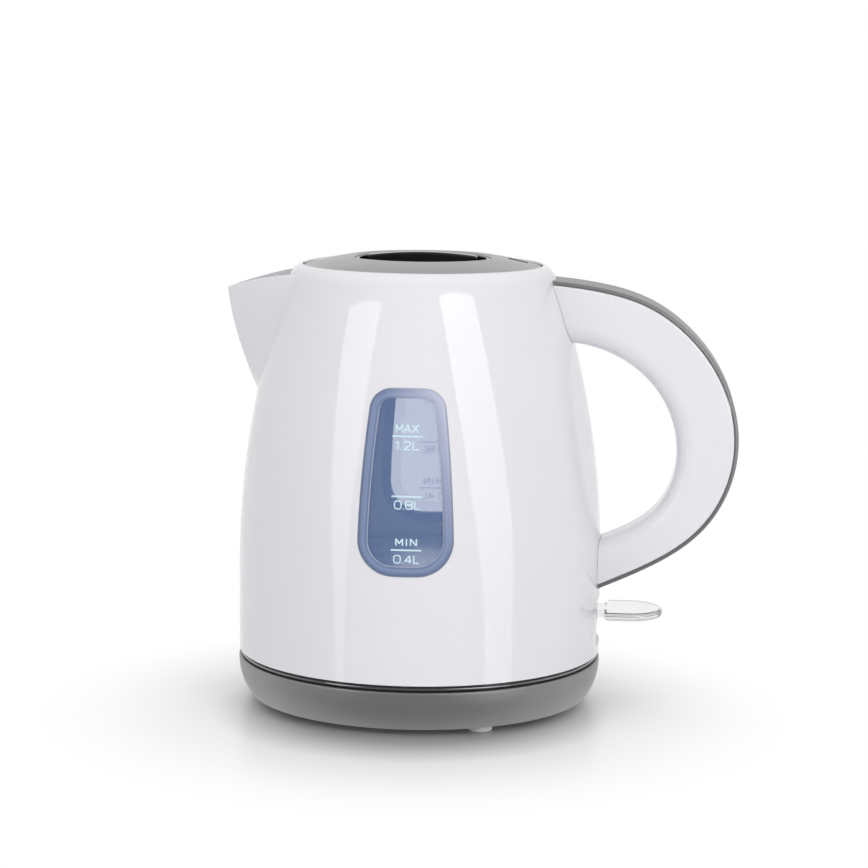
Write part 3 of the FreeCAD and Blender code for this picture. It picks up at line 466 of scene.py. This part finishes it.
def make_rim(name, node, material):
    border = bmesh.new()
    border.from_mesh(nodes[node].data)
    bmesh.ops.remove_doubles(border, verts=border.verts, dist=merge_reach)
    inner = []
    for face in border.faces:
        middle = face.calc_center_median()
        reach = math.hypot(middle.x, middle.y)
        outward = face.normal.x * middle.x + face.normal.y * middle.y
        on_skin = abs(reach - (wall_at(middle.z) - border_depth)) < skin_tolerance
        if not (on_skin and outward > outward_share * reach):
            inner.append(face)
    bmesh.ops.delete(border, geom=inner, context="FACES")
    outline = outer_loop(border)
    border.free()
    centre = sum(outline, Vector()) / len(outline)
    middle_line = []
    for i, place in enumerate(outline):
        along = outline[(i + 1) % len(outline)] - outline[i - 1]
        inward = along.cross(Vector((place.x, place.y, 0.0))).normalized()
        if inward.dot(centre - place) < 0:
            inward.negate()
        middle_line.append(place + inward * rim_half_width)
    curve = new_curve(name, rim_half_width, rim_corners)
    add_stroke(curve, middle_line, closed=True)
    mesh = curve_to_mesh(curve)
    across = mesh.verts.layers.float.new("across")
    outer = mesh.verts.layers.float.new("outer")
    for vert in mesh.verts:
        skin = wall_at(vert.co.z) - border_depth
        reach = math.hypot(vert.co.x, vert.co.y)
        flat = Vector((vert.co.x * skin / reach, vert.co.y * skin / reach, vert.co.z))
        vert[across] = min((flat - place).length for place in outline) / (2 * rim_half_width)
        vert[outer] = 1.0 if reach > skin - outer_tolerance else 0.0
        pressed = skin + (reach - skin) * rim_flatness
        vert.co.x *= pressed / reach
        vert.co.y *= pressed / reach
    return piece(name, mesh, "jug", material, smooth=60.0)


# Strokes of a letter, as (closed, points): a ring with squarish corners, or an open line
ring_steps = 20
ring_squareness = 0.65


def ring_stroke(width, low, high):
    points = []
    for step in range(ring_steps):
        angle = 2 * math.pi * step / ring_steps
        across = math.copysign(abs(math.cos(angle)) ** ring_squareness, math.cos(angle))
        upward = math.copysign(abs(math.sin(angle)) ** ring_squareness, math.sin(angle))
        points.append((width / 2 * (1 + across), low + (high - low) / 2 * (1 + upward)))
    return True, points


def open_line(*points):
    return False, points


# Letters in a box one unit high: width of the letter, then its strokes
letters = {
    "M": (1.0, [open_line((0, 0), (0, 1)), open_line((0, 1), (0.5, 0.3)),
                open_line((0.5, 0.3), (1, 1)), open_line((1, 1), (1, 0))]),
    "A": (1.0, [open_line((0, 0), (0.5, 1)), open_line((0.5, 1), (1, 0)), open_line((0.2, 0.32), (0.8, 0.32))]),
    "X": (0.95, [open_line((0, 0), (0.95, 1)), open_line((0, 1), (0.95, 0))]),
    "I": (0.0, [open_line((0, 0), (0, 1))]),
    "N": (0.9, [open_line((0, 0), (0, 1)), open_line((0, 1), (0.9, 0)), open_line((0.9, 0), (0.9, 1))]),
    "L": (0.62, [open_line((0, 1), (0, 0)), open_line((0, 0), (0.62, 0))]),
    ".": (0.0, [open_line((0, -0.04), (0, 0.08))]),
    "0": (0.82, [ring_stroke(0.82, 0, 1)]),
    "O": (1.0, [ring_stroke(1.0, 0, 1)]),
    "1": (0.28, [open_line((0, 0.76), (0.28, 1)), open_line((0.28, 1), (0.28, 0))]),
    "2": (0.72, [open_line((0, 0.78), (0.06, 0.93), (0.18, 1), (0.54, 1), (0.67, 0.93), (0.72, 0.8),
                           (0.72, 0.68), (0.64, 0.55), (0.12, 0.14), (0, 0)),
                 open_line((0, 0), (0.72, 0))]),
    "4": (0.82, [open_line((0.6, 0), (0.6, 1)), open_line((0.6, 1), (0, 0.28)),
                 open_line((0, 0.28), (0.82, 0.28))]),
    "8": (0.80, [ring_stroke(0.80, 0, 0.54), ring_stroke(0.80, 0.54, 1)]),
}


# Lettering as a mesh on the XZ plane round a middle point: weight is the stroke's width, and gap the space
# between letters, both in letter heights; relief is half the thickness
letter_corners = 2


def lettering(words, height, width, weight, gap, relief):
    curve = new_curve("lettering", weight / 2, letter_corners)
    curve.use_fill_caps = True
    pen = 0.0
    for letter in words:
        wide, strokes = letters[letter]
        for closed, points in strokes:
            add_stroke(curve, [(pen + across, upward, 0.0) for across, upward in points], closed)
        pen += wide + gap
    mesh = curve_to_mesh(curve)
    low = Vector([min(v.co[axis] for v in mesh.verts) for axis in range(3)])
    high = Vector([max(v.co[axis] for v in mesh.verts) for axis in range(3)])
    bmesh.ops.translate(mesh, vec=-(low + high) / 2, verts=mesh.verts)
    size = (width / (high.x - low.x), height / (high.y - low.y), 2 * relief / (high.z - low.z))
    bmesh.ops.scale(mesh, vec=size, verts=mesh.verts)
    bmesh.ops.rotate(mesh, cent=(0, 0, 0), matrix=Matrix.Rotation(math.pi / 2, 3, "X"), verts=mesh.verts)
    return mesh


def add_mesh(target, source, place):
    bmesh.ops.translate(source, vec=place, verts=source.verts)
    data = bpy.data.meshes.new("part")
    source.to_mesh(data)
    source.free()
    target.from_mesh(data)


# Level marks, printed on the window panel. Points of the print up to this share of its relief behind its middle
# still count as outside.
print_relief = 0.00005
print_outer_share = 0.1
# Lines as (aside, level), and lettering as (words, height, width, weight, gap, place)
line_length = 0.0126
line_height = 0.0007
line_cuts = 9
level_lines = ((0.0002, 0.1236), (0.0003, 0.0991), (0.0004, 0.0770))
level_words = (
    ("MAX", 0.0036, 0.0097, 0.22, 0.30, (0.0000, 0.1268)),
    ("1.2L", 0.0038, 0.0098, 0.16, 0.32, (0.0000, 0.1199)),
    ("0.8L", 0.0038, 0.0107, 0.16, 0.28, (0.0004, 0.0956)),
    ("MIN", 0.0032, 0.0091, 0.22, 0.60, (0.0004, 0.0803)),
    ("0.4L", 0.0037, 0.0106, 0.16, 0.28, (0.0004, 0.0732)),
)


def make_level_marks(name, material, turn):
    mesh = bmesh.new()
    for words, height, width, weight, gap, place in level_words:
        text = lettering(words, height, width, weight, gap, print_relief)
        add_mesh(mesh, text, (place[0], 0.0, place[1]))
    for aside, level in level_lines:
        stroke = bmesh.new()
        bmesh.ops.create_cube(stroke, size=1.0)
        bmesh.ops.scale(stroke, vec=(line_length, 2 * print_relief, line_height), verts=stroke.verts)
        long_edges = [edge for edge in stroke.edges if edge.calc_length() > line_length / 2]
        bmesh.ops.subdivide_edges(stroke, edges=long_edges, cuts=line_cuts)
        add_mesh(mesh, stroke, (aside, 0.0, level))
    outer = mesh.verts.layers.float.new("outer")
    for vert in mesh.verts:
        vert[outer] = 1.0 if vert.co.y < print_outer_share * print_relief else 0.0
        reach = wall_at(vert.co.z) - panel_depth
        vert.co.y -= math.sqrt(reach ** 2 - vert.co.x ** 2)
    bmesh.ops.rotate(mesh, cent=(0, 0, 0), matrix=Matrix.Rotation(turn, 3, "Z"), verts=mesh.verts)
    return piece(name, mesh, "jug", material, smooth=30.0)


# Radial mark on the lid ring, dropped on its surface from above
mark_length = 0.0084
mark_width = 0.0036
mark_reach = 0.0413
mark_turn = math.radians(4.0)
mark_height = 0.00012
mark_thickness = 0.00016
above_lid = 0.3


def make_lid_mark(material):
    mesh = bmesh.new()
    bmesh.ops.create_grid(mesh, x_segments=8, y_segments=2, size=0.5)
    bmesh.ops.scale(mesh, vec=(mark_length, mark_width, 1.0), verts=mesh.verts)
    bmesh.ops.translate(mesh, vec=(mark_reach, 0.0, 0.0), verts=mesh.verts)
    turn = Matrix.Rotation(mark_turn, 3, "Z")
    bmesh.ops.rotate(mesh, cent=(0, 0, 0), matrix=turn, verts=mesh.verts)
    ring = bmesh.new()
    ring.from_mesh(nodes["lid_ring"].data)
    surface = BVHTree.FromBMesh(ring)
    for vert in mesh.verts:
        spot = surface.ray_cast(Vector((vert.co.x, vert.co.y, above_lid)), Vector((0, 0, -1)))[0]
        vert.co.z = spot.z + mark_height
    ring.free()
    bmesh.ops.solidify(mesh, geom=mesh.faces[:], thickness=mark_thickness)
    return piece("lid_mark", mesh, "lid", material, smooth=30.0)


# Glossy bead in the seam between the jug and the base, on the lower cover's ring
bead_radius = 0.0007
bead_reach = 0.0781
bead_level = 0.0182
bead_steps = 180


def make_seam_bead(material):
    mesh = bmesh.new()
    bmesh.ops.create_circle(mesh, segments=16, radius=bead_radius)
    bmesh.ops.rotate(mesh, cent=(0, 0, 0), matrix=Matrix.Rotation(math.pi / 2, 3, "X"), verts=mesh.verts)
    bmesh.ops.translate(mesh, vec=(bead_reach, 0.0, bead_level), verts=mesh.verts)
    bmesh.ops.spin(mesh, geom=mesh.verts[:] + mesh.edges[:], cent=(0, 0, 0), axis=(0, 0, 1), dvec=(0, 0, 0),
                   angle=2 * math.pi, steps=bead_steps, use_merge=True)
    return piece("seam_bead", mesh, "jug", material)


# Raised marks beside the lever, as (sign, width, level): a ring above for off, a stroke below for on
switch_signs = (("O", 0.0038, 0.0360), ("I", 0.0007, 0.0294))
sign_height = 0.0040
sign_weight = 0.16
sign_relief = 0.00035
sign_turn = math.radians(75.0)


def make_switch_marks(material):
    mesh = bmesh.new()
    for sign, width, level in switch_signs:
        raised = lettering(sign, sign_height, width, sign_weight, 0.0, sign_relief)
        add_mesh(mesh, raised, (0.0, 0.0, level))
    for vert in mesh.verts:
        vert.co.y -= math.sqrt(wall_radius ** 2 - vert.co.x ** 2)
    turn = Matrix.Rotation(sign_turn, 3, "Z")
    bmesh.ops.rotate(mesh, cent=(0, 0, 0), matrix=turn, verts=mesh.verts)
    return piece("switch_marks", mesh, "jug", material, smooth=30.0)


ink_inside = 0.2
rim_inside = 0.06
ink = plastic("pale blue ink", (0.60, 0.80, 0.88), (0.66, 0.84, 0.91), (0.7, 0.85, 0.9), (0.35, 0.5),
              peel=0.1)
cover_from_outside(ink.node_tree, ink.node_tree.nodes["Principled BSDF"], ink_inside)
black_print = plastic("matt black print", (0.010, 0.010, 0.011), (0.014, 0.014, 0.015), (0.03, 0.03, 0.03),
                      (0.6, 0.75), peel=0.1, dusty=0.0, Specular_IOR_Level=0.05)
dark_chrome = metal("dark glossy metal", (0.17, 0.17, 0.175), (0.22, 0.22, 0.225), (0.05, 0.11),
                    strength=0.03)
frosted = frosted_rim("frosted blue rim", (0.118, 0.165, 0.295), (0.21, 0.275, 0.45), (0.51, 0.53, 0.68),
                      (0.14, 0.24), rim_inside)
make_rim("window_rim_front", "window_front", frosted)
make_rim("window_rim_rear", "window_rear", frosted)
make_level_marks("level_marks_front", ink, 0.0)
make_level_marks("level_marks_rear", ink, math.pi)
make_lid_mark(black_print)
make_switch_marks(finishes["white_plastic"])
make_seam_bead(dark_chrome)


# Stage: a pale floor that turns to white paper away from the kettle. Under the base it has a painted contact
# shadow, seen only by the camera, and it is not seen in reflections, so that those of the two strips run down
# to the foot of the jug.
# Reaches are distances from a point a little in front of the middle of the base.
floor_half = 6.0
floor_tones = ((0.90, 0.90, 0.905), (0.92, 0.92, 0.925))
contact_shadow_tone = (0.43, 0.425, 0.43)
contact_shift = (0.0, 0.028, 0.0)
contact_reach = (0.055, 0.088)
paper_reach = (0.052, 0.172)


def make_floor():
    mesh = bmesh.new()
    bmesh.ops.create_grid(mesh, x_segments=1, y_segments=1, size=floor_half)
    bmesh.ops.translate(mesh, vec=(0, 0, table), verts=mesh.verts)
    data = bpy.data.meshes.new("floor")
    mesh.to_mesh(data)
    mesh.free()
    floor = bpy.data.objects.new("floor", data)
    scene.collection.objects.link(floor)
    material, tree, shader = new_material("floor")
    place = add(tree, "TexCoord").outputs["Object"]
    cloud = add(tree, "TexNoise", Vector=place, Scale=3.0, Detail=2.0)
    tone = blend_colour(tree, cloud.outputs[0], *floor_tones)
    shifted = add(tree, "VectorMath", {"operation": "ADD"}, i0=place, i1=contact_shift)
    reach = add(tree, "VectorMath", {"operation": "LENGTH"}, i0=shifted.outputs["Vector"])
    path = add(tree, "LightPath")
    # Painted contact shadow: the floor's colour darkens towards the base, for camera rays only
    near = spread(tree, reach.outputs["Value"], 1.0, 0.0, *contact_reach)
    near = add(tree, "Math", {"operation": "MULTIPLY"}, i0=near, i1=path.outputs["Is Camera Ray"])
    tone = blend_colour(tree, near.outputs[0], tone, contact_shadow_tone)
    tree.links.new(tone, shader.inputs["Base Color"])
    shader.inputs["Roughness"].default_value = 0.3
    shader.inputs["Specular IOR Level"].default_value = 0.4
    far = add(tree, "MapRange", {"interpolation_type": "SMOOTHSTEP"},
              i0=reach.outputs["Value"], i1=paper_reach[0], i2=paper_reach[1], i3=0.0, i4=1.0)
    seen = add(tree, "Math", {"operation": "MAXIMUM"},
               i0=path.outputs["Is Camera Ray"], i1=path.outputs["Is Glossy Ray"])
    seen = add(tree, "Math", {"operation": "MAXIMUM"},
               i0=seen.outputs[0], i1=path.outputs["Is Transmission Ray"])
    fade = add(tree, "Math", {"operation": "MULTIPLY"}, i0=far.outputs[0], i1=seen.outputs[0])
    paper = add(tree, "Emission", Color=(1.0, 1.0, 1.0, 1.0), Strength=1.0)
    total = add(tree, "MixShader", i0=fade.outputs[0], i1=shader.outputs[0], i2=paper.outputs[0])
    tree.links.new(total.outputs[0], tree.nodes["Material Output"].inputs["Surface"])
    data.materials.append(material)
    floor.visible_glossy = False


# Studio light: a soft front fill for matt surfaces, weaker from the sides and behind, and a white backdrop with
# a darker front in reflections. Turns are the stretches of the direction, from -1 to 1, over which they change.
mirror_front, mirror_back = 0.35, 1.0
mirror_turn = (-0.6, 0.3)
fill_front, fill_back = 0.84, 0.08
fill_turn = (-0.9, 0.9)
fill_side_share = 0.5
fill_side_turn = (0.3, 1.0)


def make_world():
    world = bpy.data.worlds.new("studio")
    scene.world = world
    world.use_nodes = True
    tree = world.node_tree
    shade = tree.nodes["Background"]
    path = add(tree, "LightPath")
    way = add(tree, "SeparateXYZ", Vector=add(tree, "TexCoord").outputs["Generated"])
    smooth = {"interpolation_type": "SMOOTHSTEP"}
    mirrored = add(tree, "MapRange", smooth, i0=way.outputs["Y"], i1=mirror_turn[0], i2=mirror_turn[1],
                   i3=mirror_front, i4=mirror_back)
    fill = add(tree, "MapRange", smooth, i0=way.outputs["Y"], i1=fill_turn[0], i2=fill_turn[1],
               i3=fill_front, i4=fill_back)
    aside = add(tree, "Math", {"operation": "ABSOLUTE"}, i0=way.outputs["X"])
    narrow = add(tree, "MapRange", smooth, i0=aside.outputs[0], i1=fill_side_turn[0], i2=fill_side_turn[1],
                 i3=1.0, i4=fill_side_share)
    fill = add(tree, "Math", {"operation": "MULTIPLY"}, i0=fill.outputs[0], i1=narrow.outputs[0])
    plain = add(tree, "Math", {"operation": "MAXIMUM"},
                i0=path.outputs["Is Camera Ray"], i1=path.outputs["Is Transmission Ray"])
    level = add(tree, "Mix", i0=path.outputs["Is Glossy Ray"], i2=fill.outputs[0], i3=mirrored.outputs[0])
    level = add(tree, "Math", {"operation": "MAXIMUM"}, i0=level.outputs[0], i1=plain.outputs[0])
    shade.inputs["Color"].default_value = (1.0, 1.0, 1.0, 1.0)
    tree.links.new(level.outputs[0], shade.inputs["Strength"])


# Straight edge across a softbox: 1 where the value is above start + slope * other, 0 below
door_softness = 0.003


def barn_door(tree, value, other, start, slope):
    limit = add(tree, "Math", {"operation": "MULTIPLY_ADD"}, i0=other, i1=slope, i2=start)
    past = add(tree, "Math", {"operation": "SUBTRACT"}, i0=value, i1=limit.outputs[0])
    return add(tree, "MapRange", i0=past.outputs[0], i1=-door_softness, i2=door_softness,
               i3=0.0, i4=1.0).outputs[0]


# Tall softbox, brightest at its top and cut to a slanted shape by barn doors. Sides are its edges beside its
# aim, foot and head its lower and upper edge, and doors are (start, end) in shares of its width or height.
strip_distance = 1.1
strip_foot = -0.30
strip_foot_share = 0.35


def softbox(name, azimuth, sides, head, radiance, left, right, top):
    light = bpy.data.lights.new(name, "AREA")
    light.shape = "RECTANGLE"
    light.size = sides[1] - sides[0]
    light.size_y = head - strip_foot
    light.energy = radiance * math.pi * light.size * light.size_y
    light.use_nodes = True
    tree = light.node_tree
    place = add(tree, "SeparateXYZ", Vector=add(tree, "NewGeometry").outputs["Parametric"])
    across, upward = place.outputs["X"], place.outputs["Y"]
    strength = spread(tree, upward, strip_foot_share, 1.0)
    inside = barn_door(tree, across, upward, left[0], left[1] - left[0])
    outside = barn_door(tree, across, upward, right[0], right[1] - right[0])
    above = barn_door(tree, upward, across, top[0], top[1] - top[0])
    for mask, low, high in ((inside, 0.0, 1.0), (outside, 1.0, 0.0), (above, 1.0, 0.0)):
        cut = add(tree, "Math", {"operation": "MULTIPLY"}, i0=strength, i1=spread(tree, mask, low, high))
        strength = cut.outputs[0]
    tree.links.new(strength, tree.nodes["Emission"].inputs["Strength"])
    lamp = bpy.data.objects.new(name, light)
    angle = math.radians(azimuth)
    aim = Vector((-math.cos(angle), -math.sin(angle), 0.0))
    aside = Vector((-math.sin(angle), math.cos(angle), 0.0))
    middle = Vector((0, 0, (strip_foot + head) / 2))
    lamp.location = aside * (sides[0] + sides[1]) / 2 - aim * strip_distance + middle
    lamp.rotation_euler = aim.to_track_quat("-Z", "Y").to_euler()
    scene.collection.objects.link(lamp)


# Top softbox, square and out of sight of reflections
top_side = 1.8
top_power = 12.0
top_place = (0.0, 0.2, 1.7)


def make_lights():
    softbox("left strip", azimuth=-138.0, sides=(-0.26, 0.36), head=0.81, radiance=2.9,
            left=(0.464, 0.011), right=(0.584, 0.984), top=(0.867, 0.995))
    softbox("right strip", azimuth=-50.0, sides=(-0.44, 0.47), head=0.90, radiance=3.9,
            left=(0.628, 0.012), right=(1.112, 0.633), top=(0.994, 0.861))
    light = bpy.data.lights.new("top softbox", "AREA")
    light.shape = "RECTANGLE"
    light.size = top_side
    light.size_y = top_side
    light.energy = top_power
    lamp = bpy.data.objects.new("top softbox", light)
    lamp.location = top_place
    lamp.visible_glossy = False
    scene.collection.objects.link(lamp)


# Camera at the photo's angle and framing, turned slightly about its own axis
def make_camera():
    eye = Vector((0.09297, -1.16035, 0.28553))
    target = Vector((0.0, 0.0, 0.10023))
    roll = math.radians(0.575)
    ahead = (target - eye).normalized()
    side = ahead.cross(Vector((0, 0, 1))).normalized()
    up = side.cross(ahead)
    turned_side = side * math.cos(roll) + up * math.sin(roll)
    turned_up = up * math.cos(roll) - side * math.sin(roll)
    pose = Matrix((turned_side, turned_up, -ahead)).transposed().to_4x4()
    pose.translation = eye
    data = bpy.data.cameras.new("camera")
    data.sensor_width = 36.0
    data.lens = 111.33
    data.shift_x = 0.01500
    data.shift_y = 0.03580
    data.clip_end = 50.0
    camera = bpy.data.objects.new("camera", data)
    camera.matrix_world = pose
    scene.collection.objects.link(camera)
    scene.camera = camera


make_floor()
make_world()
make_lights()
make_camera()
scene.view_settings.view_transform = "Standard"
